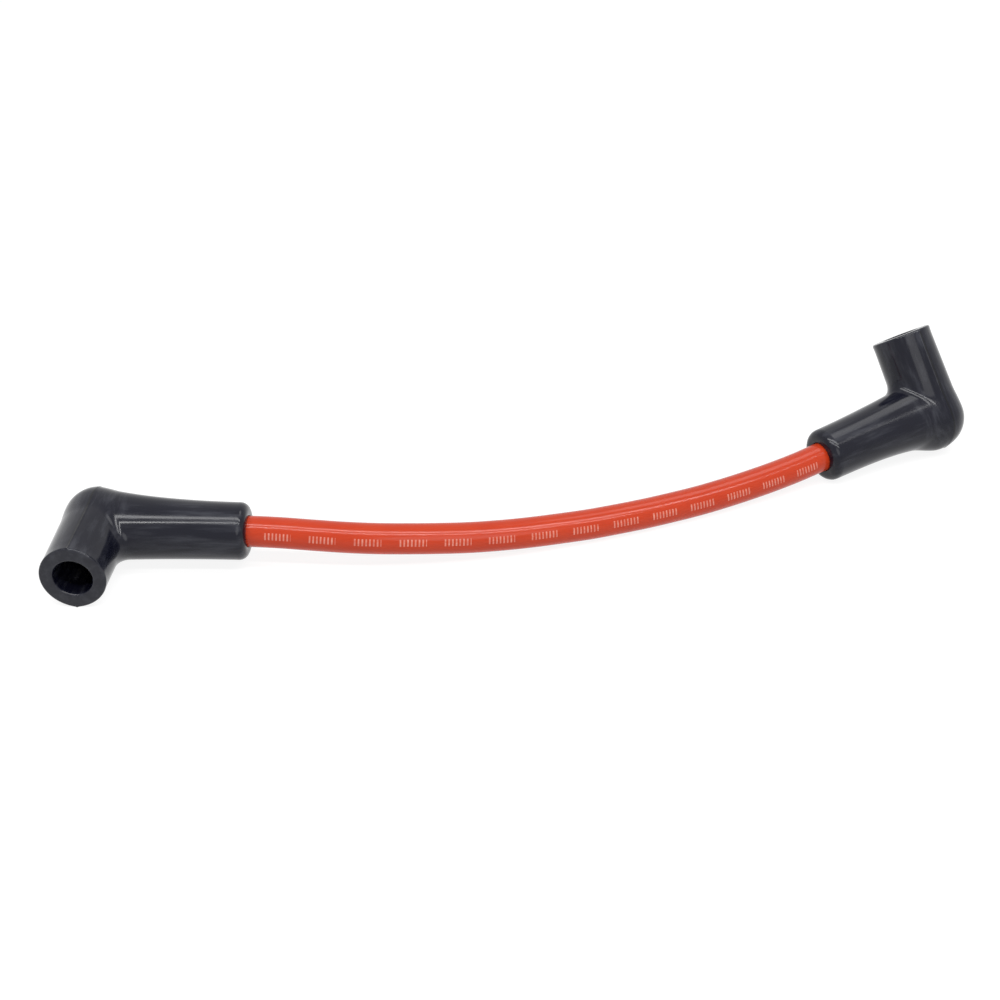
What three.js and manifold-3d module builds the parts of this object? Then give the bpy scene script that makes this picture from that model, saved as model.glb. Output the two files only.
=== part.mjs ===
// Spark plug wire: a short silicone ignition lead with a right-angle rubber boot on each end,
// and in each boot the crimped socket that snaps onto a plug or coil post.
// Millimetres, +Z up. It lies on a table, at rest. The origin is on the table, under the
// middle of the box round the two boots. The left boot's leg points along +X.

import * as THREE from 'three';
import { mergeVertices } from 'three/addons/utils/BufferGeometryUtils.js';
import Module from 'manifold-3d';

const wasm = await Module();
wasm.setup();

// The lead
const leadDiameter = 8;
const conductorDiameter = 1.8;

// The boot: a leg along the lead and a barrel at a right angle to it
const barrelBaseDiameter = 17.1;
const barrelDiameter = 16.3;
const barrelLength = 25.2;
const rimDiameter = 16.6;
const rimFlare = 3;
const rimRidge = 0.45;
const mouthEdge = 0.6;
const mouthBevel = 0.4;
const elbowDiameter = 17.7;
const domeBulge = 0.05;
const legLength = 39.1;
const legEndDiameter = 14.7;
const legOffset = 2.35;
const legWidthPower = 2.2;
const legBackPower = 3.3;
const legFrontPower = 1.7;
const legFrontRise = 2.3;
const legEndRound = 2.2;
const legHoleBevel = 0.4;
const innerFillet = 2.8;
const filletCore = 10;
const cornerSink = 0.05;

// The terminal: a crimp round the lead and a socket down the barrel
const sheet = 0.4;
const crimpStart = 7.5;
const crimpLength = 12;
const crimpSlit = 1.2;
const strapWidth = 4.4;
const socketBore = 6.5;
const socketLength = 12.2;

// The snap spring: a wire ring with two straight sides that reach through slots in the socket
const springWire = 0.6;
const springBite = 0.15;
const springPlace = 8.6;
const springOpening = 50;

// The conductor's end, folded back over the jacket under the crimp
const jacketSetback = 1.5;
const foldLength = 7;
const foldInset = 0.15;

// Space left between pieces that touch
const clearance = 0.3;

// Where the boots lie on the table: the elbow's centre, and how the boot is turned
const leftElbow = [-111.106, -30.03];
const rightElbow = [111.057, 37.249];
const rightHeading = 212.92;
const rightPitch = -6.4;
const rightRoll = 124.82;

// The free stretch of the lead, from the left boot to the right one
const leadRoute = [
  [-64, -32.3, 9],
  [-55.9, -32.2, 8.5],
  [-47.9, -32, 8],
  [-40, -31.4, 7.5],
  [-32, -30.3, 7],
  [-24.2, -28.8, 6.4],
  [-16.4, -27, 5.8],
  [-8.7, -24.8, 5.3],
  [-1, -22.3, 4.9],
  [6.5, -19.6, 4.6],
  [14, -16.7, 4.3],
  [21.4, -13.6, 4.2],
  [28.7, -10.3, 4.1],
  [35.9, -6.8, 4.1],
  [43.1, -3.2, 4.2],
  [50.2, 0.6, 4.5],
  [57.1, 4.5, 4.9],
  [64, 8.6, 5.4],
  [70.8, 12.8, 6.1],
];

// How far a cutting shape runs past the face it cuts
const past = 1;

// How finely round shapes are divided
const roundSides = 30;
const boreSides = 20;
const sheetSides = 20;
const strapSides = 6;
const leadSides = 12;
const wireSides = 8;
const domeSteps = 6;
const legSteps = 8;
const legRoundSteps = 4;
const barrelSteps = 3;
const rimSteps = 2;
const cornerSteps = 8;
const foldSteps = 8;
const springSteps = 4;

// Sizes that follow from the ones above
const barrelBaseRadius = barrelBaseDiameter / 2;
const barrelRadius = barrelDiameter / 2;
const rimRadius = rimDiameter / 2;
const domeDepth = barrelBaseRadius + domeBulge;
const elbowRadius = elbowDiameter / 2;
const legEndRadius = legEndDiameter / 2;
const leadRadius = leadDiameter / 2;
const conductorRadius = conductorDiameter / 2;
const channelRadius = conductorRadius + clearance;
const leadBore = leadRadius + clearance;
const crimpOuter = leadBore + sheet;
const crimpCavity = crimpOuter + clearance;
const crimpEnd = crimpStart + crimpLength;
const socketInner = socketBore / 2;
const socketOuter = socketInner + sheet;
const socketFloor = legOffset - crimpOuter;
const socketRim = socketFloor + socketLength;
const springRadius = socketOuter + clearance + springWire / 2;
const springSide = socketInner - springBite;
const mouthRadius = springRadius + springWire / 2 + clearance;
const slotReach = Math.sqrt(springRadius ** 2 - springSide ** 2);
const slotHalf = springWire / 2 + clearance;
const jacketEnd = crimpStart + jacketSetback;
const foldOffset = leadRadius - conductorRadius - foldInset;

const DEG = Math.PI / 180;

// A three.js geometry as a solid for cutting and joining
function solid(geometry) {
  const bare = geometry.clone();
  bare.deleteAttribute('normal');
  bare.deleteAttribute('uv');
  const merged = mergeVertices(bare, 1e-4);
  const corners = merged.index.array;
  const faces = [];
  for (let i = 0; i < corners.length; i += 3) {
    const [a, b, c] = [corners[i], corners[i + 1], corners[i + 2]];
    if (a !== b && b !== c && c !== a) {
      faces.push(a, b, c);
    }
  }
  return new wasm.Manifold(new wasm.Mesh({
    numProp: 3,
    vertProperties: Float32Array.from(merged.attributes.position.array),
    triVerts: Uint32Array.from(faces),
  }));
}

function geometryOf(body) {
  const mesh = body.getMesh();
  const geometry = new THREE.BufferGeometry();
  geometry.setAttribute('position', new THREE.BufferAttribute(mesh.vertProperties, 3));
  geometry.setIndex(new THREE.BufferAttribute(mesh.triVerts, 1));
  geometry.computeVertexNormals();
  return geometry;
}

// Cylinders along the leg (x) and along the barrel (y), in the boot's own frame
function alongLeg(radius, from, to, y, sides) {
  const geometry = new THREE.CylinderGeometry(radius, radius, to - from, sides);
  geometry.rotateZ(-Math.PI / 2);
  geometry.translate((from + to) / 2, y, 0);
  return geometry;
}

function alongBarrel(radius, from, to, sides) {
  const geometry = new THREE.CylinderGeometry(radius, radius, to - from, sides);
  geometry.translate(0, (from + to) / 2, 0);
  return geometry;
}

function block(x0, x1, y0, y1, z0, z1) {
  const geometry = new THREE.BoxGeometry(x1 - x0, y1 - y0, z1 - z0);
  geometry.translate((x0 + x1) / 2, (y0 + y1) / 2, (z0 + z1) / 2);
  return geometry;
}

// The leg's share of the elbow's form: 1 at the elbow and before it, falling evenly to 0 at its end
function legShare(x) {
  return Math.max(0, 1 - Math.max(0, x) / legLength);
}

// Half of the leg's width, and how far its centre has moved towards the mouth's side
function legRadius(x) {
  return legEndRadius + (elbowRadius - legEndRadius) * legShare(x) ** legWidthPower;
}

function legCentre(x) {
  return legOffset * (1 - legShare(x) ** legWidthPower);
}

// From the leg's centre to its edge on the mouth's side, and to its edge on the far side
function legFront(x) {
  const rise = legFrontRise * legShare(x) ** legFrontPower;
  return legEndRadius + legOffset + rise - legCentre(x);
}

function legBack(x) {
  const end = legEndRadius - legOffset;
  return end + (elbowRadius - end) * legShare(x) ** legBackPower + legCentre(x);
}

// The dome and the leg are one turned shape of radius 1, which is then drawn out to the leg's
// width and to its two edges
function legAndDome() {
  const profile = [];
  for (let i = 0; i <= domeSteps; i++) {
    const angle = (i / domeSteps) * 90 * DEG;
    profile.push(new THREE.Vector2(Math.sin(angle), -domeDepth * Math.cos(angle)));
  }
  const roundStart = legLength - legEndRound;
  for (let i = 1; i <= legSteps; i++) {
    profile.push(new THREE.Vector2(1, roundStart * (i / legSteps)));
  }
  for (let i = 1; i <= legRoundSteps; i++) {
    const angle = (i / legRoundSteps) * 90 * DEG;
    const inset = legEndRound * (1 - Math.cos(angle));
    profile.push(new THREE.Vector2(1 - inset / legEndRadius, roundStart + legEndRound * Math.sin(angle)));
  }
  profile.push(new THREE.Vector2(0, legLength));
  const geometry = new THREE.LatheGeometry(profile, roundSides);
  geometry.rotateZ(-Math.PI / 2);
  const position = geometry.attributes.position;
  for (let i = 0; i < position.count; i++) {
    const x = position.getX(i);
    const y = position.getY(i);
    const tall = y > 0 ? legFront(x) : legBack(x);
    position.setY(i, legCentre(x) + tall * y);
    position.setZ(i, legRadius(x) * position.getZ(i));
  }
  return geometry;
}

// The barrel narrows a little from the elbow, then widens to the rim of its mouth. The mould's
// parting leaves a ridge on both sides of it, which is highest at the rim
function barrel() {
  const profile = [[0, 0]];
  const flareStart = barrelLength - rimFlare;
  const flareEnd = barrelLength - mouthEdge;
  const narrowing = (y) => barrelBaseRadius + (barrelRadius - barrelBaseRadius) * (y / barrelLength);
  for (let i = 0; i < barrelSteps; i++) {
    const y = flareStart * (i / barrelSteps);
    profile.push([narrowing(y), y]);
  }
  for (let i = 0; i <= rimSteps; i++) {
    const share = i / rimSteps;
    const y = flareStart + (flareEnd - flareStart) * share;
    profile.push([narrowing(y) + (rimRadius - barrelRadius) * share ** 2, y]);
  }
  const eased = mouthEdge * (1 - Math.SQRT1_2);
  profile.push([rimRadius - eased, barrelLength - eased]);
  profile.push([rimRadius - mouthEdge, barrelLength]);
  profile.push([0, barrelLength]);
  const points = profile.map(([radius, y]) => new THREE.Vector2(radius, y));
  const geometry = new THREE.LatheGeometry(points, roundSides);
  const position = geometry.attributes.position;
  for (let i = 0; i < position.count; i++) {
    const x = position.getX(i);
    const z = position.getZ(i);
    const radius = Math.hypot(x, z);
    if (radius > 0) {
      const ridge = rimRidge * (position.getY(i) / barrelLength) * (1 - Math.abs(x) / radius) ** 2;
      position.setX(i, x * (1 + ridge / radius));
      position.setZ(i, z * (1 + ridge / radius));
    }
  }
  return geometry;
}

// The rounded inside corner is a bent rod that shows only between the leg and the barrel
function insideCorner() {
  const rod = filletCore / 2;
  const reach = innerFillet + rod;
  const cornerX = barrelBaseRadius + innerFillet;
  const cornerY = legCentre(cornerX) + legFront(cornerX) + innerFillet;
  const centre = new THREE.Vector3(cornerX - cornerSink, cornerY - cornerSink, 0);
  class Corner extends THREE.Curve {
    getPoint(t, target = new THREE.Vector3()) {
      const angle = t * 90 * DEG;
      return target.set(-Math.cos(angle), -Math.sin(angle), 0).multiplyScalar(reach).add(centre);
    }
  }
  const section = new THREE.Shape();
  section.absarc(0, 0, rod, 0, 2 * Math.PI);
  return new THREE.ExtrudeGeometry(section, {
    steps: cornerSteps,
    curveSegments: boreSides / 2,
    extrudePath: new Corner(),
  });
}

// What a bevel cuts from the edge of a hole whose face is at y = 0
function cone(holeRadius, depth) {
  const height = depth + past;
  const geometry = new THREE.CylinderGeometry(holeRadius + height, holeRadius, height, boreSides);
  geometry.translate(0, height / 2 - depth, 0);
  return geometry;
}

function bootGeometry() {
  const outside = solid(legAndDome()).add(solid(barrel())).add(solid(insideCorner()));
  const mouth = solid(alongBarrel(mouthRadius, socketFloor - clearance, barrelLength + past, boreSides));
  const bevel = cone(mouthRadius, mouthBevel);
  bevel.translate(0, barrelLength, 0);
  const cavity = solid(alongLeg(crimpCavity, 0, crimpEnd + clearance, legOffset, boreSides));
  const leadHole = solid(alongLeg(leadBore, crimpEnd, legLength + past, legOffset, boreSides));
  const holeBevel = cone(leadBore, legHoleBevel);
  holeBevel.rotateZ(-90 * DEG);
  holeBevel.translate(legLength, legOffset, 0);
  const openings = [mouth, solid(bevel), cavity, leadHole, solid(holeBevel)];
  return geometryOf(openings.reduce((body, opening) => body.subtract(opening), outside));
}

// Part of a ring of sheet round the lead, from one angle to another, as an extrusion along x
function wrap(fromAngle, toAngle, x0, x1, sides) {
  const section = new THREE.Shape();
  section.absarc(0, 0, crimpOuter, fromAngle, toAngle, false);
  section.absarc(0, 0, leadBore, toAngle, fromAngle, true);
  section.closePath();
  const geometry = new THREE.ExtrudeGeometry(section, {
    depth: x1 - x0,
    bevelEnabled: false,
    curveSegments: sides,
  });
  geometry.rotateX(90 * DEG);
  geometry.rotateZ(90 * DEG);
  geometry.translate(x0, legOffset, 0);
  return geometry;
}

// Crimp, strap and socket are one piece of folded sheet
function terminalGeometry() {
  const slit = Math.asin(crimpSlit / 2 / crimpOuter);
  const crimp = solid(wrap(slit, 2 * Math.PI - slit, crimpStart, crimpEnd, sheetSides));
  const strapHalf = Math.asin(strapWidth / 2 / crimpOuter);
  const strapStart = socketInner - sheet;
  const strapEnd = crimpStart + sheet * 2;
  const strap = solid(wrap(Math.PI - strapHalf, Math.PI + strapHalf, strapStart, strapEnd, strapSides));
  const profile = [
    [0, socketFloor],
    [socketOuter, socketFloor],
    [socketOuter, socketRim],
    [socketInner, socketRim],
    [socketInner, socketFloor + sheet],
    [0, socketFloor + sheet],
  ];
  const cup = new THREE.LatheGeometry(profile.map(([r, y]) => new THREE.Vector2(r, y)), sheetSides);
  let body = crimp.add(strap).add(solid(cup));
  for (const side of [-1, 1]) {
    const inner = side * (springSide - springWire / 2 - clearance);
    const outer = side * (socketOuter + past);
    const window = block(
      -slotReach, slotReach,
      springPlace - slotHalf, springPlace + slotHalf,
      Math.min(inner, outer), Math.max(inner, outer),
    );
    body = body.subtract(solid(window));
  }
  return geometryOf(body);
}

// A curve through given stations, each a step of the extrusion that follows it
class Stations extends THREE.Curve {
  constructor(points) {
    super();
    this.points = points;
  }

  getUtoTmapping(u) {
    return u;
  }

  getPoint(t, target = new THREE.Vector3()) {
    const place = t * (this.points.length - 1);
    const index = Math.min(Math.floor(place), this.points.length - 2);
    return target.lerpVectors(this.points[index], this.points[index + 1], place - index);
  }
}

function polygon(radius, sides) {
  const corners = [];
  for (let i = 0; i < sides; i++) {
    const angle = (i / sides) * 2 * Math.PI;
    corners.push(new THREE.Vector2(radius * Math.cos(angle), radius * Math.sin(angle)));
  }
  return corners;
}

function rodAlong(points, radius, sides, hole = 0) {
  const section = new THREE.Shape(polygon(radius, sides));
  if (hole > 0) {
    section.holes.push(new THREE.Path(polygon(hole, wireSides)));
  }
  return new THREE.ExtrudeGeometry(section, {
    steps: points.length - 1,
    extrudePath: new Stations(points),
  });
}

function springGeometry() {
  const points = [];
  const turn = Math.atan2(springSide, slotReach);
  const gap = (springOpening / 2) * DEG;
  const at = (x, z) => points.push(new THREE.Vector3(x, springPlace, z));
  const arc = (from, to, steps) => {
    for (let i = 0; i <= steps; i++) {
      const angle = from + ((to - from) * i) / steps;
      at(springRadius * Math.cos(angle), springRadius * Math.sin(angle));
    }
  };
  arc(Math.PI - gap, Math.PI - turn, springSteps);
  arc(turn, -turn, 2 * springSteps);
  arc(Math.PI + turn, Math.PI + gap, springSteps);
  return geometryOf(solid(rodAlong(points, springWire / 2, wireSides)));
}

// The boot's frame on the table: x along the leg, y along the barrel, lifted until it just rests
function bootFrame(elbow, heading, pitch, roll, geometry) {
  const frame = new THREE.Group();
  frame.rotation.set(roll * DEG, -pitch * DEG, heading * DEG, 'ZYX');
  frame.position.set(elbow[0], elbow[1], 0);
  frame.updateMatrixWorld(true);
  const box = new THREE.Box3();
  const corner = new THREE.Vector3();
  const position = geometry.attributes.position;
  for (let i = 0; i < position.count; i++) {
    box.expandByPoint(corner.fromBufferAttribute(position, i).applyMatrix4(frame.matrixWorld));
  }
  frame.position.z = -box.min.z;
  frame.updateMatrixWorld(true);
  return frame;
}

function piece(name, geometry, finish) {
  const mesh = new THREE.Mesh(geometry, new THREE.MeshStandardMaterial(finish));
  mesh.name = name;
  return mesh;
}

const rubber = { color: 0x34353b, roughness: 0.45, metalness: 0 };
const silicone = { color: 0xd4471f, roughness: 0.35, metalness: 0 };
const plated = { color: 0xb9b4a6, roughness: 0.35, metalness: 1 };
const spring = { color: 0xa8abb0, roughness: 0.3, metalness: 1 };
const carbon = { color: 0x2b2a2a, roughness: 0.6, metalness: 0.2 };

const boot = bootGeometry();
const terminal = terminalGeometry();
const snap = springGeometry();

// The left barrel lies on its mouth's rim and the wider elbow, so it is tipped a little
const leftRoll = 180 + Math.asin((elbowRadius - rimRadius) / barrelLength) / DEG;
const frames = {
  left: bootFrame(leftElbow, 0, 0, leftRoll, boot),
  right: bootFrame(rightElbow, rightHeading, rightPitch, rightRoll, boot),
};

const assembly = new THREE.Group();
for (const [side, frame] of Object.entries(frames)) {
  frame.add(piece(`boot_${side}`, boot, rubber));
  frame.add(piece(`terminal_${side}`, terminal, plated));
  frame.add(piece(`snap_spring_${side}`, snap, spring));
  assembly.add(frame);
}

// A point given in a boot's frame, on the table
function onTable(frame, x, y) {
  return new THREE.Vector3(x, y, 0).applyMatrix4(frame.matrixWorld);
}

// The lead runs straight inside each boot and along its route between them
function leadStations(leftInside, rightInside) {
  return [
    ...leftInside.map(([x, y]) => onTable(frames.left, x, y)),
    onTable(frames.left, legLength, legOffset),
    ...leadRoute.map((point) => new THREE.Vector3(...point)),
    onTable(frames.right, legLength, legOffset),
    ...rightInside.map(([x, y]) => onTable(frames.right, x, y)).reverse(),
  ];
}

function groove(frame) {
  const from = jacketEnd - past;
  const to = jacketEnd + foldLength + clearance;
  const cut = alongLeg(channelRadius, from, to, legOffset - foldOffset, wireSides);
  cut.applyMatrix4(frame.matrixWorld);
  return solid(cut);
}

function jacketGeometry() {
  const ends = [[jacketEnd, legOffset], [crimpEnd, legOffset]];
  const tube = solid(rodAlong(leadStations(ends, ends), leadRadius, leadSides, channelRadius));
  return geometryOf(tube.subtract(groove(frames.left)).subtract(groove(frames.right)));
}

// The conductor's ends leave the jacket, turn back and lie in a groove on its outside
function conductorGeometry() {
  const bend = foldOffset / 2;
  const bendStart = jacketEnd - clearance;
  const folded = [[jacketEnd + foldLength, legOffset - foldOffset]];
  for (let i = 0; i <= foldSteps; i++) {
    const angle = (i / foldSteps) * 180 * DEG;
    folded.push([bendStart - bend * Math.sin(angle), legOffset - bend - bend * Math.cos(angle)]);
  }
  folded.push([crimpEnd, legOffset]);
  return geometryOf(solid(rodAlong(leadStations(folded, folded), conductorRadius, wireSides)));
}

assembly.add(piece('lead_jacket', jacketGeometry(), silicone));
assembly.add(piece('lead_conductor', conductorGeometry(), carbon));

export default assembly;
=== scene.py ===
from math import asin, atan2, cos, hypot, radians, sin

import bpy
import numpy as np
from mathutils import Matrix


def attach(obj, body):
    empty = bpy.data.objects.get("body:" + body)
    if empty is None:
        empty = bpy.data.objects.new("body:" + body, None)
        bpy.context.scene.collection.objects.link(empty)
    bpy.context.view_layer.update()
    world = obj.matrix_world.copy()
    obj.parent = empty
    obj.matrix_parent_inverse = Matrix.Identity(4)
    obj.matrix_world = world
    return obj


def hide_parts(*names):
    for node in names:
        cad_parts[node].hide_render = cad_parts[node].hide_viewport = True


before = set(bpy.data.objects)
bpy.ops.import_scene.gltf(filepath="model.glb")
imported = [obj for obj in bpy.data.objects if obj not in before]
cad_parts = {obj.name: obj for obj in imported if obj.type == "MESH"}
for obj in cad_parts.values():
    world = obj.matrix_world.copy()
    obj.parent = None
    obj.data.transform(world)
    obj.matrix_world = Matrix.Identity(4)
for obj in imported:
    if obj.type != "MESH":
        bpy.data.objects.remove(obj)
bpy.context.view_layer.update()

# Spark plug wire: two right-angle rubber boots on a short silicone ignition lead.
# The scene is in metres. Sizes below are in millimetres, and MM turns them into metres.
MM = 0.001

# The photograph's view: a camera turned and tilted about a point on the table
VIEW_TURN = radians(3.05)
VIEW_DROP = radians(31.4)
VIEW_DISTANCE = 441.24
VIEW_TARGET = (-10.11, 1.28, 0.0)
LENS = 58.31
SENSOR = 36.0

# The boot: a leg along the lead and a barrel at a right angle to it
BARREL_BASE_RADIUS = 8.55
BARREL_RADIUS = 8.15
BARREL_LENGTH = 25.2
RIM_RADIUS = 8.3
RIM_FLARE = 3.0
RIM_RIDGE = 0.45
MOUTH_EDGE = 0.6
MOUTH_BEVEL = 0.4
ELBOW_RADIUS = 8.85
DOME_DEPTH = 8.6
LEG_LENGTH = 39.1
LEG_END_RADIUS = 7.35
LEG_OFFSET = 2.35
LEG_WIDTH_POWER = 2.2
LEG_BACK_POWER = 3.3
LEG_FRONT_POWER = 1.7
LEG_FRONT_RISE = 2.3
LEG_END_ROUND = 2.2
LEG_HOLE_BEVEL = 0.15

# How widely the leg and the barrel run into each other: inside the corner, at the side, at the back
CORNER_BLEND = 3.7
SIDE_BLEND = 0.6
BACK_BLEND = 1.2

# How far from the middle, along z, the corner's blend gives way to the side's. The photo shows both
# boots from the side with z below 0, where the corner is sharper
CORNER_REACH = 5.0
CORNER_REACH_FAR = 10.0

# The back's blend turns into the front's along x, from here and over this length
FRONT_FROM = -2.0
FRONT_OVER = 5.0

# Inside the boot
MOUTH_BORE = 4.85
BORE_FLOOR = -3.0
CRIMP_CAVITY = 5.0
CRIMP_CAVITY_END = 19.8
LEAD_HOLE = 4.06

# The mould's parting line: a thin flash, a small step and a nub where it meets the rim
FLASH_HEIGHT = 0.13
FLASH_WIDTH = 0.17
PARTING_STEP = 0.07
NUB_HEIGHT = 0.35
NUB_REACH = 0.5

# The flash is uneven: the share of its height that comes and goes, two waves in radians per
# millimetre, and where the first one starts
RIPPLE_SHARE = 0.25
RIPPLE_WAVE = 1.7
RIPPLE_WAVE_LONG = 0.63
RIPPLE_START = 0.6

# The grid of the boot's surface: rows down the barrel, round the corner and along the leg, for the
# skin and for the hollow, rows in a rounded edge, and points round each row, which crowd towards the
# parting line
SKIN_ROWS = (62, 124, 104)
HOLLOW_ROWS = (26, 44, 16)
ARC_ROWS = 6
AROUND = 176
PARTING_CROWD = 0.28

# Each point is sought within this reach of its row's centre, halving this often
RAY_REACH = 15.0
HALVINGS = 34

# The rows fan round a point this far outside the inside corner, along x and along y
PIVOT_CLEAR = (3.2, 3.8)

# Extra rows this far from an edge keep the smooth shading beside it even
END_FACE_ROW = 0.35
EDGE_ROW = 0.3
HOLE_ROW = 6.0

# Where the boots lie: the elbow's centre, then heading, pitch and roll in degrees
LEFT_ELBOW = (-111.106, -30.03, 9.284)
RIGHT_ELBOW = (111.057, 37.249, 9.476)
LEFT_TURN = (0.0, 0.0, 180.0 + np.degrees(asin((ELBOW_RADIUS - RIM_RADIUS) / BARREL_LENGTH)))
RIGHT_TURN = (212.92, -6.4, 124.82)

# How far the rubber's bloom hides its own colour at its thickest, and how much rougher it makes it
BLOOM = 0.3
BLOOM_ROUGHNESS = 0.3

# Marks on the rubber in the boot's own frame, in metres. Each pair is the stretch over which a mark
# comes in or fades out: along x for the streaks' turn and the half width of the painted shade line
# beside the parting, along z and y for that line's ends, and along y for the mouth's face, painted
# paler as painted light
STREAKS_TURN = (0.007, 0.011)
# The painted shade line beside the parting's flash and step: its offset from x = 0, its darkness, its
# width and its ends
PARTING_SHADE_SHIFT = 0.0003
PARTING_SHADE_SHARE = 0.8
PARTING_SHADE = (0.0001, 0.0004)
PARTING_SHADE_SIDE = (0.0053, 0.006)
PARTING_SHADE_END = (0.0243, 0.0246)
# Painted light on the mouth's face: where it starts along y, and how far it pales the colour
MOUTH_FACE_LIGHT = (0.0249, 0.0251)
MOUTH_FACE_LIGHT_SHARE = 0.38

# The lead, and where along the leg its jacket ends and the crimp lets go of it
LEAD_RADIUS = 4.0
CHANNEL_RADIUS = 1.2
JACKET_END = 9.0
CRIMP_END = 19.5
LEAD_SIDES = 96
LEAD_STEP = 0.7
CURVE_STEPS = 40

# The print on the lead. Ticks repeat in groups, with both pitches in metres along the lead. A tick and
# a group each take up the stretch between two shares of their pitch, and their edges are shares of it
# too. The print lies between two shares of a turn round the lead
TICK_PITCH = 0.00093
TICK_SHARES = (0.3, 0.6)
TICK_EDGE = 0.12
GROUP_PITCH = 0.0112
GROUP_SHARES = (0.05, 0.68)
GROUP_EDGE = 0.001
PRINT_TURN = (0.008, 0.078)
PRINT_EDGE = 0.004

# Points that the lead runs through between the boots
LEAD_ROUTE = [
    (-64, -32.3, 9),
    (-55.9, -32.2, 8.5),
    (-47.9, -32, 8),
    (-40, -31.4, 7.5),
    (-32, -30.3, 7),
    (-24.2, -28.8, 6.4),
    (-16.4, -27, 5.8),
    (-8.7, -24.8, 5.3),
    (-1, -22.3, 4.9),
    (6.5, -19.6, 4.6),
    (14, -16.7, 4.3),
    (21.4, -13.6, 4.2),
    (28.7, -10.3, 4.1),
    (35.9, -6.8, 4.1),
    (43.1, -3.2, 4.2),
    (50.2, 0.6, 4.5),
    (57.1, 4.5, 4.9),
    (64, 8.6, 5.4),
    (70.8, 12.8, 6.1),
]


def linear(code):
    """An sRGB hex colour such as "1c1d22" as linear red, green and blue with alpha 1."""
    parts = [int(code[i : i + 2], 16) / 255 for i in (0, 2, 4)]
    return (*(c / 12.92 if c <= 0.04045 else ((c + 0.055) / 1.055) ** 2.4 for c in parts), 1.0)


def add(tree, kind, links=None, **settings):
    """Adds one node with its own settings. links sets or links its inputs by name or number."""
    node = tree.nodes.new(kind)
    for name, value in settings.items():
        setattr(node, name, value)
    for name, value in (links or {}).items():
        socket = node.inputs[name]
        if isinstance(value, bpy.types.NodeSocket):
            tree.links.new(value, socket)
        else:
            socket.default_value = value
    return node


def maths(tree, operation, *values):
    """The result of one Math node."""
    return add(tree, "ShaderNodeMath", dict(enumerate(values)), operation=operation).outputs[0]


def blend(tree, share, first, second):
    """The first colour run into the second by a share."""
    mix = add(tree, "ShaderNodeMix", {0: share, 6: first, 7: second}, data_type="RGBA")
    return mix.outputs[2]


def noise(tree, place, scale, detail, roughness=0.5):
    settings = {"Vector": place, "Scale": scale, "Detail": detail, "Roughness": roughness}
    return add(tree, "ShaderNodeTexNoise", settings).outputs[0]


def spread(tree, value, low, high, at_low, at_high, shape="LINEAR"):
    """The value carried from low and high to at_low and at_high, and held outside them."""
    ends = {"Value": value, "From Min": low, "From Max": high, "To Min": at_low, "To Max": at_high}
    return add(tree, "ShaderNodeMapRange", ends, interpolation_type=shape).outputs[0]


def bump(tree, height, distance, strength):
    settings = {"Height": height, "Distance": distance, "Strength": strength}
    return add(tree, "ShaderNodeBump", settings).outputs[0]


def smooth(t):
    """0 below 0, 1 above 1, and a smooth step between."""
    t = np.clip(t, 0, 1)
    return t * t * (3 - 2 * t)


def make_camera():
    data = bpy.data.cameras.new("photo_camera")
    data.sensor_width = SENSOR
    data.lens = LENS
    data.clip_start = 0.01
    camera = bpy.data.objects.new("photo_camera", data)
    bpy.context.scene.collection.objects.link(camera)
    ahead = (-sin(VIEW_TURN) * cos(VIEW_DROP), cos(VIEW_TURN) * cos(VIEW_DROP), -sin(VIEW_DROP))
    camera.location = [(t - VIEW_DISTANCE * a) * MM for t, a in zip(VIEW_TARGET, ahead)]
    camera.rotation_euler = (radians(90) - VIEW_DROP, 0, VIEW_TURN)
    bpy.context.scene.camera = camera


def grid_mesh(name, points, uv=None, extra=None):
    """A mesh over a grid of points [row, column], closed both ways and facing outwards.

    uv is kept as a map. extra holds vectors in millimetres, kept for each point in metres.
    """
    rows, columns = points.shape[:2]
    row = np.arange(rows)[:, None]
    column = np.arange(columns)
    next_row = (row + 1) % rows
    next_column = (column + 1) % columns
    faces = np.stack([
        row * columns + column,
        row * columns + next_column,
        next_row * columns + next_column,
        next_row * columns + column,
    ], -1).reshape(-1, 4)
    flat = points.reshape(-1, 3)
    corner = flat[faces]
    volume = np.einsum("ij,ij->i", corner[:, 0], np.cross(corner[:, 1], corner[:, 2])).sum()
    volume += np.einsum("ij,ij->i", corner[:, 0], np.cross(corner[:, 2], corner[:, 3])).sum()
    if volume < 0:
        faces = faces[:, ::-1]
    mesh = bpy.data.meshes.new(name)
    mesh.vertices.add(len(flat))
    mesh.vertices.foreach_set("co", (flat * MM).astype(np.float32).ravel())
    mesh.loops.add(faces.size)
    mesh.loops.foreach_set("vertex_index", faces.astype(np.int32).ravel())
    mesh.polygons.add(len(faces))
    mesh.polygons.foreach_set("loop_start", np.arange(0, faces.size, 4, dtype=np.int32))
    mesh.update(calc_edges=True)
    mesh.polygons.foreach_set("use_smooth", np.ones(len(faces), bool))
    if uv is not None:
        layer = mesh.uv_layers.new(name="surface")
        per_loop = uv.reshape(-1, 2)[faces]
        wrapped = per_loop[..., 1].max(1) - per_loop[..., 1].min(1) > 0.5
        per_loop[..., 1] += wrapped[:, None] & (per_loop[..., 1] < 0.5)
        layer.data.foreach_set("uv", per_loop.astype(np.float32).ravel())
    for key, value in (extra or {}).items():
        mesh.attributes.new(key, "FLOAT_VECTOR", "POINT").data.foreach_set(
            "vector", (value.reshape(-1, 3) * MM).astype(np.float32).ravel()
        )
    mesh.validate()
    piece = bpy.data.objects.new(name, mesh)
    bpy.context.scene.collection.objects.link(piece)
    return piece


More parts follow.
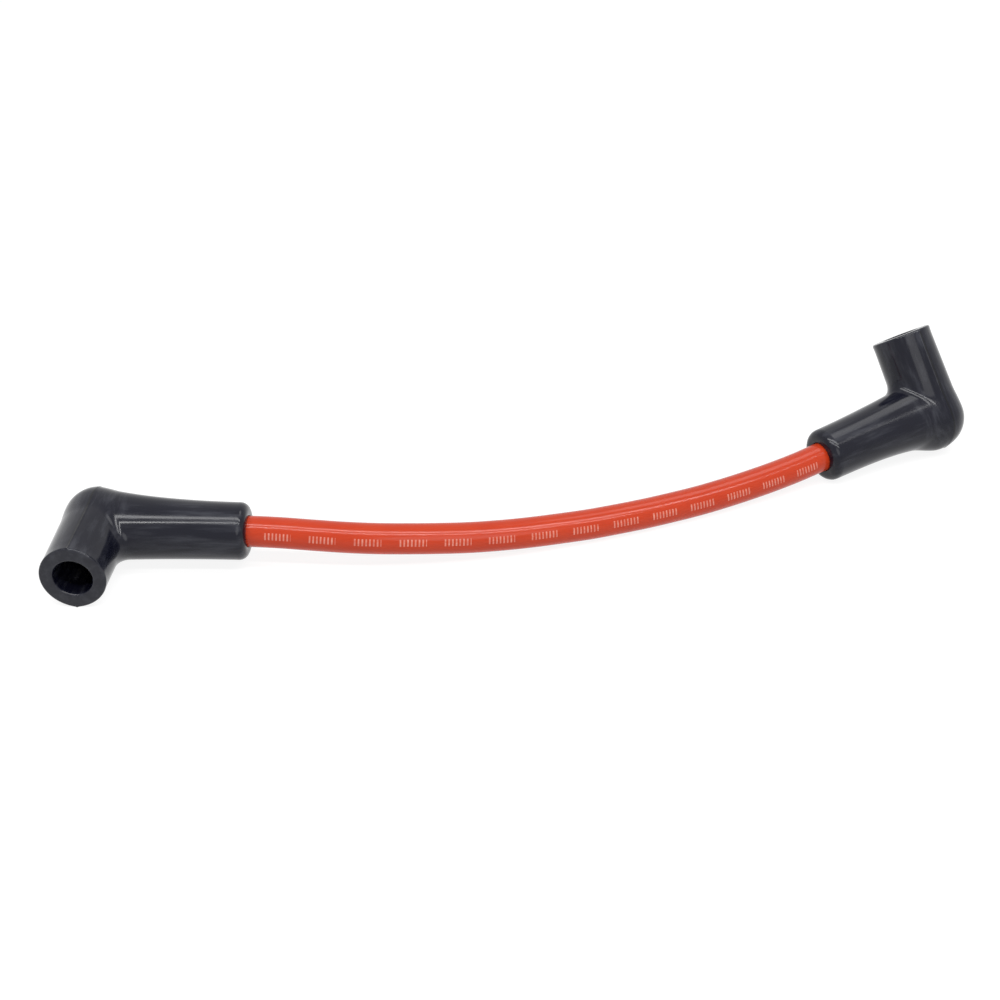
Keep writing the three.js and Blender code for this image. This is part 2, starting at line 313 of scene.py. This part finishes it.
def turned(heading, pitch, roll):
    """The boot frame's axes as columns: heading about Z, then pitch, then roll about the leg."""
    h, p, r = radians(heading), radians(-pitch), radians(roll)
    about_z = np.array([[cos(h), -sin(h), 0], [sin(h), cos(h), 0], [0, 0, 1]])
    about_y = np.array([[cos(p), 0, sin(p)], [0, 1, 0], [-sin(p), 0, cos(p)]])
    about_x = np.array([[1, 0, 0], [0, cos(r), -sin(r)], [0, sin(r), cos(r)]])
    return about_z @ about_y @ about_x


# The boot's surface, in its own frame: x along the leg, y along the barrel towards the mouth
def leg_share(x):
    """1 at the elbow and before it, falling evenly to 0 at the leg's end."""
    return np.clip(1 - np.maximum(x, 0) / LEG_LENGTH, 0, 1)


def leg_radius(x):
    """Half of the leg's width, along z."""
    return LEG_END_RADIUS + (ELBOW_RADIUS - LEG_END_RADIUS) * leg_share(x) ** LEG_WIDTH_POWER


def leg_centre(x):
    return LEG_OFFSET * (1 - leg_share(x) ** LEG_WIDTH_POWER)


def leg_front(x):
    """The edge on the mouth's side, from the leg's centre."""
    rise = LEG_FRONT_RISE * leg_share(x) ** LEG_FRONT_POWER
    return LEG_END_RADIUS + LEG_OFFSET + rise - leg_centre(x)


def leg_back(x):
    """The edge on the far side, from the leg's centre."""
    end = LEG_END_RADIUS - LEG_OFFSET
    return end + (ELBOW_RADIUS - end) * leg_share(x) ** LEG_BACK_POWER + leg_centre(x)


def barrel_radius(y):
    """A cone from the elbow, then widening as a square over the last stretch before the rim."""
    cone = BARREL_BASE_RADIUS + (BARREL_RADIUS - BARREL_BASE_RADIUS) * np.clip(y / BARREL_LENGTH, 0, 1)
    share = np.clip((y - BARREL_LENGTH + RIM_FLARE) / RIM_FLARE, 0, 1)
    return cone + (RIM_RADIUS - BARREL_RADIUS) * share**2


def outside(x, y, z):
    """Below 0 inside the rubber's outer skin.

    The leg and the dome are one body, an ellipse whose halves change along x. The barrel is a cone with
    a low ridge on both sides and a ball for its base. A smooth minimum runs the two together:
    min(a, b) - max(k - |a - b|, 0)^2 / (4 k), with k wide in the inside corner and narrow elsewhere. On
    top are the parting's flash and nub, both exp(-t^2), and a step where the mould's halves meet.
    """
    off = y - leg_centre(x)
    tall = np.where(off > 0, leg_front(x), leg_back(x))
    wide = leg_radius(x)
    before = np.minimum(x, 0) / DOME_DEPTH
    body = (np.sqrt(before**2 + (off / tall) ** 2 + (z / wide) ** 2) - 1) * np.minimum(tall, wide)
    round_x = np.hypot(x, z)
    to_side = 1 - np.abs(x) / np.maximum(round_x, 1e-6)
    ridge = RIM_RIDGE * np.clip(y / BARREL_LENGTH, 0, 1) * to_side**2
    tube = round_x - barrel_radius(y) - ridge
    ball = np.sqrt(x**2 + y**2 + z**2) - BARREL_BASE_RADIUS
    barrel = np.where(y > 0, tube, ball)
    reach = np.where(z > 0, CORNER_REACH_FAR, CORNER_REACH)
    corner = np.exp(-((z / reach) ** 2))
    front = SIDE_BLEND + (CORNER_BLEND - SIDE_BLEND) * corner
    width = BACK_BLEND + (front - BACK_BLEND) * smooth((x - FRONT_FROM) / FRONT_OVER)
    overlap = np.maximum(width - np.abs(body - barrel), 0) / width
    joined = np.minimum(body, barrel) - overlap**2 * width / 4
    waves = np.sin(y * RIPPLE_WAVE + RIPPLE_START) * np.sin(y * RIPPLE_WAVE_LONG + np.sign(z))
    ripple = 1 - RIPPLE_SHARE + RIPPLE_SHARE * waves
    flash = FLASH_HEIGHT * ripple * np.exp(-((x / FLASH_WIDTH) ** 2))
    nub = NUB_HEIGHT * np.exp(-((x / FLASH_WIDTH / 2) ** 2) - ((y - BARREL_LENGTH) / NUB_REACH) ** 2)
    step = PARTING_STEP * (1 - smooth(x / FLASH_WIDTH / 2 + 0.5))
    return joined - flash - nub - step


def inside(x, y, z):
    """Below 0 in the hollow: the mouth's bore, and the cavity round the crimp."""
    bore = np.maximum(np.hypot(x, z) - MOUTH_BORE, BORE_FLOOR - y)
    cavity = np.maximum(np.hypot(y - LEG_OFFSET, z) - CRIMP_CAVITY, -x)
    return np.minimum(bore, cavity)


def reach_to(field, centre, across, theta):
    """How far each ray goes from its section's centre before the field turns positive, by halving."""
    dx = across[:, 0, None] * np.cos(theta)
    dy = across[:, 1, None] * np.cos(theta)
    dz = np.sin(theta)[None, :] * np.ones_like(dx)
    low = np.zeros_like(dx)
    high = np.full_like(dx, RAY_REACH)
    for _ in range(HALVINGS):
        middle = (low + high) / 2
        at_x = centre[:, 0, None] + dx * middle
        at_y = centre[:, 1, None] + dy * middle
        within = field(at_x, at_y, dz * middle) < 0
        low = np.where(within, middle, low)
        high = np.where(within, high, middle)
    return (low + high) / 2


def bent_sections(from_y, to_x, counts):
    """Sections from the barrel at from_y, fanned round the inside corner, to the leg at to_x."""
    pivot = np.array([BARREL_BASE_RADIUS, ELBOW_RADIUS]) + PIVOT_CLEAR
    down = np.linspace(from_y, pivot[1], counts[0], endpoint=False)
    turn = np.linspace(0, np.pi / 2, counts[1], endpoint=False)
    along = np.linspace(pivot[0], to_x, counts[2])
    ahead = np.stack([np.cos(turn), np.sin(turn)], -1)
    lever = pivot[0] + (pivot[1] - leg_centre(pivot[0]) - pivot[0]) * (turn / (np.pi / 2))
    centre = np.concatenate([
        np.stack([np.zeros_like(down), down], -1),
        pivot - ahead * lever[:, None],
        np.stack([along, leg_centre(along)], -1),
    ])
    across = np.concatenate([
        np.tile([1.0, 0.0], (counts[0], 1)),
        ahead,
        np.tile([0.0, 1.0], (counts[2], 1)),
    ])
    return centre, across


def boot_surface():
    """The whole skin as one closed grid of points.

    The rows run out over the barrel and the leg, in at the lead's hole and back through the hollow
    to the mouth. A point is its row's centre + across * cos(theta) * radius, with
    z = sin(theta) * radius.
    """
    even = np.linspace(0, 2 * np.pi, AROUND, endpoint=False)
    theta = even + PARTING_CROWD * np.sin(2 * even)
    quarter = np.radians(np.linspace(0, 90, ARC_ROWS))

    leg_edge = LEG_LENGTH - LEG_END_ROUND
    centre, across = bent_sections(BARREL_LENGTH - MOUTH_EDGE, leg_edge, SKIN_ROWS)
    skin = reach_to(outside, centre, across, theta)

    end_x = leg_edge + LEG_END_ROUND * np.sin(quarter[1:])
    end_r = leg_radius(leg_edge) - LEG_END_ROUND * (1 - np.cos(quarter[1:]))
    hole = [
        (LEG_LENGTH, LEAD_HOLE + LEG_HOLE_BEVEL + END_FACE_ROW),
        (LEG_LENGTH, LEAD_HOLE + LEG_HOLE_BEVEL),
        (LEG_LENGTH - LEG_HOLE_BEVEL, LEAD_HOLE),
        (LEG_LENGTH - LEG_HOLE_BEVEL - EDGE_ROW, LEAD_HOLE),
        (LEG_LENGTH - HOLE_ROW, LEAD_HOLE),
        (CRIMP_CAVITY_END, LEAD_HOLE),
        (CRIMP_CAVITY_END, CRIMP_CAVITY),
    ]
    leg_x = np.concatenate([end_x, [x for x, _ in hole]])
    leg_r = np.concatenate([end_r, [r for _, r in hole]])
    leg_y = np.concatenate([leg_centre(end_x), np.full(len(hole), LEG_OFFSET)])

    mouth_start = BARREL_LENGTH - MOUTH_BEVEL
    back_centre, back_across = bent_sections(mouth_start, CRIMP_CAVITY_END, HOLLOW_ROWS)
    hollow = reach_to(inside, back_centre, back_across, theta)

    edge = quarter[:0:-1]
    face_r = np.array([MOUTH_BORE + MOUTH_BEVEL, MOUTH_BORE + MOUTH_BEVEL + EDGE_ROW])
    mouth_y = np.concatenate([
        np.full(len(face_r), BARREL_LENGTH),
        BARREL_LENGTH - MOUTH_EDGE * (1 - np.sin(edge)),
    ])
    mouth_r = np.concatenate([
        np.tile(face_r[:, None], (1, AROUND)),
        skin[0] - MOUTH_EDGE * (1 - np.cos(edge[:, None])),
    ])

    centres = np.concatenate([
        centre,
        np.stack([leg_x, leg_y], -1),
        back_centre[::-1],
        np.stack([np.zeros_like(mouth_y), mouth_y], -1),
    ])
    acrosses = np.concatenate([
        across,
        np.tile([0.0, 1.0], (len(leg_x), 1)),
        back_across[::-1],
        np.tile([1.0, 0.0], (len(mouth_y), 1)),
    ])
    radii = np.concatenate([
        skin,
        np.tile(leg_r[:, None], (1, AROUND)),
        hollow[::-1],
        mouth_r,
    ])
    x = centres[:, 0, None] + acrosses[:, 0, None] * np.cos(theta) * radii
    y = centres[:, 1, None] + acrosses[:, 1, None] * np.cos(theta) * radii
    z = np.sin(theta) * radii
    return np.stack([x, y, z], -1)


def lay_boot(name, node, surface, elbow, turn):
    """The moulded boot, laid as its CAD solid is, with the parting's nub pressed flat on the table."""
    axes = turned(*turn)
    placed = surface @ axes.T + np.array(elbow)
    placed[..., 2] = np.maximum(placed[..., 2], 0)
    piece = grid_mesh(name, placed, extra={"in_boot": surface})
    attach(piece, "root")
    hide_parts(node)
    return piece, axes, np.array(elbow)


# The lead
def length_along(line):
    """How far along the line each of its points lies."""
    return np.concatenate([[0], np.cumsum(np.linalg.norm(np.diff(line, axis=0), axis=1))])


def through(points, spacing):
    """A smooth line through the points, evenly stepped.

    It is a Catmull-Rom curve, blended three times from the points p at knots k, each by
    (k[j] - t) / (k[j] - k[i]) * first + (t - k[i]) / (k[j] - k[i]) * second. The knots go on by the
    root of the distance between two points.
    """
    points = np.asarray(points, float)
    ends = [2 * points[0] - points[1], 2 * points[-1] - points[-2]]
    p = np.vstack([ends[0], points, ends[1]])
    knot = np.concatenate([[0], np.cumsum(np.sqrt(np.linalg.norm(np.diff(p, axis=0), axis=1)))])
    pieces = []
    for i in range(1, len(p) - 2):
        t = np.linspace(knot[i], knot[i + 1], CURVE_STEPS, endpoint=False)[:, None]
        k = knot[i - 1 : i + 3]
        a1 = (k[1] - t) / (k[1] - k[0]) * p[i - 1] + (t - k[0]) / (k[1] - k[0]) * p[i]
        a2 = (k[2] - t) / (k[2] - k[1]) * p[i] + (t - k[1]) / (k[2] - k[1]) * p[i + 1]
        a3 = (k[3] - t) / (k[3] - k[2]) * p[i + 1] + (t - k[2]) / (k[3] - k[2]) * p[i + 2]
        b1 = (k[2] - t) / (k[2] - k[0]) * a1 + (t - k[0]) / (k[2] - k[0]) * a2
        b2 = (k[3] - t) / (k[3] - k[1]) * a2 + (t - k[1]) / (k[3] - k[1]) * a3
        pieces.append((k[2] - t) / (k[2] - k[1]) * b1 + (t - k[1]) / (k[2] - k[1]) * b2)
    line = np.vstack([*pieces, points[-1:]])
    run = length_along(line)
    even = np.linspace(0, run[-1], int(run[-1] / spacing) + 1)
    return np.stack([np.interp(even, run, line[:, i]) for i in range(3)], -1)


def jacket_line(left, right):
    """The lead's own line: straight inside each boot, and along the route between them."""
    in_boot = np.array([[x, LEG_OFFSET, 0] for x in (JACKET_END, CRIMP_END, LEG_LENGTH)])
    from_left = in_boot @ left[0].T + left[1]
    from_right = in_boot @ right[0].T + right[1]
    return through(np.vstack([from_left, LEAD_ROUTE, from_right[::-1]]), LEAD_STEP)


def tube_frame(line):
    """Unit vectors beside and above each point of a line that is never upright."""
    way = np.gradient(line, axis=0)
    way /= np.linalg.norm(way, axis=1)[:, None]
    beside = np.cross(way, [0, 0, 1.0])
    beside /= np.linalg.norm(beside, axis=1)[:, None]
    return beside, np.cross(beside, way)


def jacket_surface(line):
    """The jacket as one closed grid, its places on the map and its length.

    The rows are its outside, an end, the channel for the conductor and the other end. Each ring is
    line + radius * (beside * cos(angle) + above * sin(angle)).
    """
    beside, above = tube_frame(line)
    angle = np.linspace(0, 2 * np.pi, LEAD_SIDES, endpoint=False)
    ring = beside[:, None] * np.cos(angle)[:, None] + above[:, None] * np.sin(angle)[:, None]
    run = length_along(line)
    outer = line[:, None] + ring * LEAD_RADIUS
    inner = (line[:, None] + ring * CHANNEL_RADIUS)[::-1]
    uv_outer = np.stack(np.broadcast_arrays(run[:, None] / run[-1], angle / (2 * np.pi)), -1)
    points = np.concatenate([outer, inner])
    uv = np.concatenate([uv_outer, uv_outer[::-1]])
    return points, uv, run[-1]


def make_lead(left, right):
    line = jacket_line(left, right)
    points, uv, length = jacket_surface(line)
    piece = grid_mesh("silicone_jacket", points, uv=uv)
    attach(piece, "root")
    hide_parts("lead_jacket")
    return piece, length


# Materials
def new_material(name):
    material = bpy.data.materials.new(name)
    material.use_nodes = True
    tree = material.node_tree
    tree.nodes.clear()
    return material, tree


def finish_material(tree, shader):
    add(tree, "ShaderNodeOutputMaterial", {"Surface": shader.outputs[0]})


def moulded_rubber():
    """EPDM rubber moulded in a polished tool: near black with a blue cast, glossy, with a dusty bloom.

    The bloom lies in streaks along the barrel (in_boot y) and along the leg (in_boot x). A painted
    shade line lies beside the mould's parting, near the plane x = 0. The mouth's face is painted paler,
    as painted light.
    """
    material, tree = new_material("moulded_boot_rubber")
    place = add(tree, "ShaderNodeAttribute", attribute_name="in_boot").outputs["Vector"]
    x, y, z = add(tree, "ShaderNodeSeparateXYZ", {0: place}).outputs

    def eased(value, ends, at_low, at_high):
        return spread(tree, value, *ends, at_low, at_high, shape="SMOOTHSTEP")

    def streaks(stretch):
        drawn = add(tree, "ShaderNodeMapping", {"Vector": place, "Scale": stretch})
        return noise(tree, drawn.outputs[0], 420.0, 4.0, roughness=0.6)

    cloud = noise(tree, place, 90.0, 4.0)
    on_leg = eased(x, STREAKS_TURN, 0.0, 1.0)
    bloom = add(
        tree, "ShaderNodeMix",
        {0: on_leg, 2: streaks((1.0, 0.2, 1.0)), 3: streaks((0.12, 1.0, 1.0))},
    ).outputs[0]
    bloomed = eased(bloom, (0.42, 0.78), 0.0, BLOOM)

    # Painted shade: a dark line beside the parting's flash and step, where shade falls
    off_shade_line = maths(tree, "ABSOLUTE", maths(tree, "ADD", x, PARTING_SHADE_SHIFT))
    line = eased(off_shade_line, PARTING_SHADE, PARTING_SHADE_SHARE, 0.0)
    on_skin = eased(maths(tree, "ABSOLUTE", z), PARTING_SHADE_SIDE, 0.0, 1.0)
    before_mouth = eased(y, PARTING_SHADE_END, 1.0, 0.0)
    painted_shade = maths(tree, "MULTIPLY", line, maths(tree, "MULTIPLY", on_skin, before_mouth))

    colour = blend(tree, cloud, linear("0c0d19"), linear("121320"))
    colour = blend(tree, bloomed, colour, linear("5c5e66"))
    # The painted shade beside the parting, near black
    colour = blend(tree, painted_shade, colour, linear("08080b"))
    # Painted light: the mouth's face made paler, standing in for the light on it
    colour = blend(tree, eased(y, MOUTH_FACE_LIGHT, 0.0, MOUTH_FACE_LIGHT_SHARE), colour, linear("34353b"))
    gloss = eased(cloud, (0.3, 0.7), 0.13, 0.16)
    wave = noise(tree, place, 170.0, 1.0)
    shader = add(
        tree, "ShaderNodeBsdfPrincipled",
        {
            "Base Color": colour,
            "Roughness": maths(tree, "MULTIPLY_ADD", bloomed, BLOOM_ROUGHNESS, gloss),
            "IOR": 1.5,
            "Specular IOR Level": 0.26,
            "Normal": bump(tree, wave, 0.00012, 0.06),
        },
    )
    finish_material(tree, shader)
    return material


def extruded_silicone(length):
    """Silicone extruded over the lead: a warm orange red that light enters a little, smooth and glossy.

    Worn ticks in groups lie along it, by the map's u times the length in metres, and round it by v.
    """
    material, tree = new_material("extruded_silicone")
    uv = add(tree, "ShaderNodeUVMap", uv_map="surface").outputs[0]
    share_along, share_round, _ = add(tree, "ShaderNodeSeparateXYZ", {0: uv}).outputs
    along = maths(tree, "MULTIPLY", share_along, length)
    place = add(tree, "ShaderNodeTexCoord").outputs["Object"]

    def band(value, ends, edge, pitch=1.0):
        """1 between two ends, falling off over an edge outside them, all in shares of the pitch."""
        low, high = (end * pitch for end in ends)
        middle, half = (low + high) / 2, (high - low) / 2
        off = maths(tree, "ABSOLUTE", maths(tree, "SUBTRACT", value, middle))
        return spread(tree, off, half, half + edge * pitch, 1.0, 0.0)

    ticks = band(maths(tree, "MODULO", along, TICK_PITCH), TICK_SHARES, TICK_EDGE, TICK_PITCH)
    groups = band(maths(tree, "MODULO", along, GROUP_PITCH), GROUP_SHARES, GROUP_EDGE, GROUP_PITCH)
    side = band(share_round, PRINT_TURN, PRINT_EDGE)
    printed = maths(tree, "MULTIPLY", maths(tree, "MULTIPLY", ticks, groups), side)
    worn = maths(tree, "MULTIPLY", printed, noise(tree, place, 1400.0, 2.0))

    colour = blend(tree, noise(tree, place, 120.0, 3.0), linear("ba3617"), linear("c33f1e"))
    grain = noise(tree, place, 900.0, 2.0)
    shader = add(
        tree, "ShaderNodeBsdfPrincipled",
        {
            "Base Color": blend(tree, worn, colour, linear("e8a898")),
            "Roughness": 0.15,
            "IOR": 1.43,
            "Specular IOR Level": 0.32,
            "Subsurface Weight": 0.12,
            "Subsurface Radius": (0.004, 0.0015, 0.0008),
            "Subsurface Scale": 0.4,
            "Normal": bump(tree, grain, 0.00003, 0.1),
        },
    )
    finish_material(tree, shader)
    return material


def plated_sheet():
    """Zinc-plated spring steel, folded and stamped: a warm grey metal with soft drawn streaks."""
    material, tree = new_material("plated_terminal_sheet")
    place = add(tree, "ShaderNodeTexCoord").outputs["Object"]
    drawn = add(tree, "ShaderNodeMapping", {"Vector": place, "Scale": (1.0, 0.06, 1.0)})
    streak = noise(tree, drawn.outputs[0], 2600.0, 3.0)
    cloud = noise(tree, place, 300.0, 3.0)
    shader = add(
        tree, "ShaderNodeBsdfPrincipled",
        {
            "Base Color": blend(tree, cloud, linear("b3ad9e"), linear("cbc6b8")),
            "Metallic": 1.0,
            "Roughness": spread(tree, streak, 0.3, 0.7, 0.28, 0.45),
        },
    )
    finish_material(tree, shader)
    return material


def drawn_wire():
    """Bright drawn spring wire: clean steel whose gloss changes in fine spots."""
    material, tree = new_material("bright_spring_wire")
    place = add(tree, "ShaderNodeTexCoord").outputs["Object"]
    spots = noise(tree, place, 1500.0, 2.0)
    shader = add(
        tree, "ShaderNodeBsdfPrincipled",
        {
            "Base Color": linear("b9bcc1"),
            "Metallic": 1.0,
            "Roughness": spread(tree, spots, 0.3, 0.7, 0.18, 0.32),
        },
    )
    finish_material(tree, shader)
    return material


def carbon_core():
    """Carbon-filled latex over a fibre core: dull black and finely uneven."""
    material, tree = new_material("carbon_conductor")
    place = add(tree, "ShaderNodeTexCoord").outputs["Object"]
    fibre = noise(tree, place, 2500.0, 3.0)
    shader = add(
        tree, "ShaderNodeBsdfPrincipled",
        {
            "Base Color": blend(tree, fibre, linear("1a1a1b"), linear("303031")),
            "Roughness": 0.7,
            "Normal": bump(tree, fibre, 0.00008, 0.6),
        },
    )
    finish_material(tree, shader)
    return material


def paint(obj, material):
    obj.data.materials.clear()
    obj.data.materials.append(material)


# Light and background
def seen_rays(tree, *kinds):
    """1 for the camera's rays and for each kind of ray named."""
    path = add(tree, "ShaderNodeLightPath").outputs
    seen = path["Is Camera Ray"]
    for kind in kinds:
        seen = maths(tree, "MAXIMUM", seen, path[kind])
    return seen


def make_world():
    """White where it is seen or mirrored, and a soft light for everything else."""
    world = bpy.data.worlds.new("white_studio")
    bpy.context.scene.world = world
    world.use_nodes = True
    tree = world.node_tree
    tree.nodes.clear()
    seen = seen_rays(tree, "Is Glossy Ray", "Is Transmission Ray")
    soft = add(tree, "ShaderNodeBackground", {"Color": (1, 1, 1, 1), "Strength": 0.15})
    white = add(tree, "ShaderNodeBackground", {"Color": (1, 1, 1, 1), "Strength": 1.0})
    mixed = add(tree, "ShaderNodeMixShader", {0: seen, 1: soft.outputs[0], 2: white.outputs[0]})
    add(tree, "ShaderNodeOutputWorld", {"Surface": mixed.outputs[0]})


def make_floor():
    """A plain pale table. Where it is seen or mirrored, it is white and keeps a part of its shadows."""
    half = 3.0
    mesh = bpy.data.meshes.new("floor")
    corners = [(-half, -half, 0), (half, -half, 0), (half, half, 0), (-half, half, 0)]
    mesh.from_pydata(corners, [], [(0, 1, 2, 3)])
    floor = bpy.data.objects.new("floor", mesh)
    bpy.context.scene.collection.objects.link(floor)
    material, tree = new_material("white_table")
    seen = seen_rays(tree, "Is Glossy Ray")
    plain = add(tree, "ShaderNodeBsdfDiffuse", {"Color": (0.8, 0.8, 0.8, 1)})
    shadowed = add(tree, "ShaderNodeBsdfDiffuse", {"Color": (0.22, 0.22, 0.22, 1)})
    glow = add(tree, "ShaderNodeEmission", {"Color": (1, 1, 1, 1), "Strength": 0.88})
    both = add(tree, "ShaderNodeAddShader", {0: shadowed.outputs[0], 1: glow.outputs[0]})
    mixed = add(tree, "ShaderNodeMixShader", {0: seen, 1: plain.outputs[0], 2: both.outputs[0]})
    finish_material(tree, mixed)
    floor.data.materials.append(material)


def lamp(name, shape, place, size, power):
    """A flat lamp whose first size runs along X as far as it can, looking at the object's middle."""
    data = bpy.data.lights.new(name, "AREA")
    data.shape = shape
    data.size, data.size_y = size
    data.energy = power
    light = bpy.data.objects.new(name, data)
    bpy.context.scene.collection.objects.link(light)
    light.location = place
    across, ahead, up = place
    light.rotation_euler = (atan2(-ahead, hypot(across, up)), atan2(across, up), 0)


bpy.context.scene.view_settings.view_transform = "Standard"
make_camera()
surface = boot_surface()
left_boot, *left = lay_boot("left_boot_moulding", "boot_left", surface, LEFT_ELBOW, LEFT_TURN)
right_boot, *right = lay_boot("right_boot_moulding", "boot_right", surface, RIGHT_ELBOW, RIGHT_TURN)
jacket, jacket_length = make_lead(left, right)

rubber = moulded_rubber()
paint(left_boot, rubber)
paint(right_boot, rubber)
paint(jacket, extruded_silicone(jacket_length * MM))
plate = plated_sheet()
wire = drawn_wire()
for side in ("left", "right"):
    paint(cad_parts["terminal_" + side], plate)
    paint(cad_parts["snap_spring_" + side], wire)
paint(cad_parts["lead_conductor"], carbon_core())

make_world()
make_floor()
lamp("overhead_strip", "RECTANGLE", (0.0, -0.165, 0.9), (1.5, 0.12), 6.4)
lamp("front_strip", "RECTANGLE", (0.0, -0.46, 0.88), (1.5, 0.05), 5.4)
lamp("side_softbox", "ELLIPSE", (0.3, -0.71, 0.46), (0.5, 0.5), 1.1)
lamp("back_softbox", "ELLIPSE", (0.4, 0.42, 0.9), (0.4, 0.4), 1.0)
